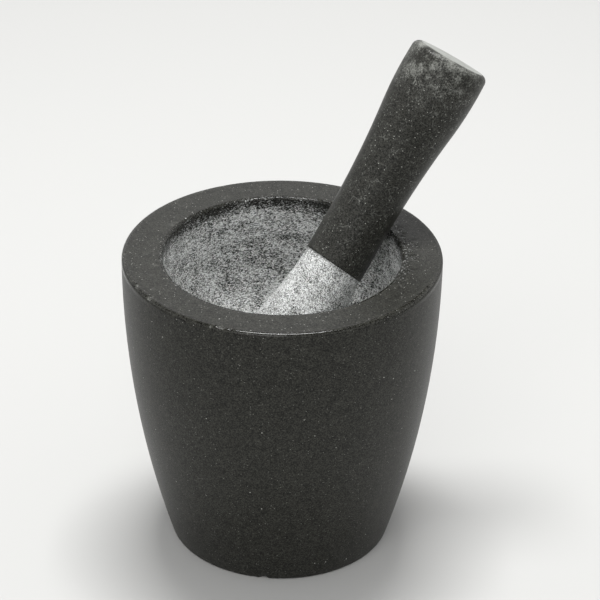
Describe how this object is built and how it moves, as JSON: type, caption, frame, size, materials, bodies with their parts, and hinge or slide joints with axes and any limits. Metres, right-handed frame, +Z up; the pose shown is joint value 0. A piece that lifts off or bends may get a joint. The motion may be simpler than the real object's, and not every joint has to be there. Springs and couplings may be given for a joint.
{
  "type": "mortar and pestle",
  "caption": "Tall tapered stone mortar with a round pecked bowl, and a loose stone pestle with a honed waisted handle and a pecked grinding head, for crushing spices.",
  "frame": {"origin": "centre of the flat face the mortar stands on", "axes": "+Z up along the mortar's axis; the pestle leans towards +X and +Y, 31.5 degrees round from +X"},
  "size_m": [0.1693, 0.15, 0.2365],
  "materials": {
    "mortar_stone": "honed black granite outside and on the rim, pecked rough in the bowl",
    "pestle_stone": "honed black granite handle, pecked rough grinding head"
  },
  "bodies": {
    "mortar": {"mortar": "mortar_stone"},
    "pestle": {"pestle": "pestle_stone"}
  },
  "joints": [
    {"name": "pestle_lift", "type": "slide", "parent": "mortar", "child": "pestle", "axis": [0, 0, 1], "range_m": [0, 0.12]}
  ]
}
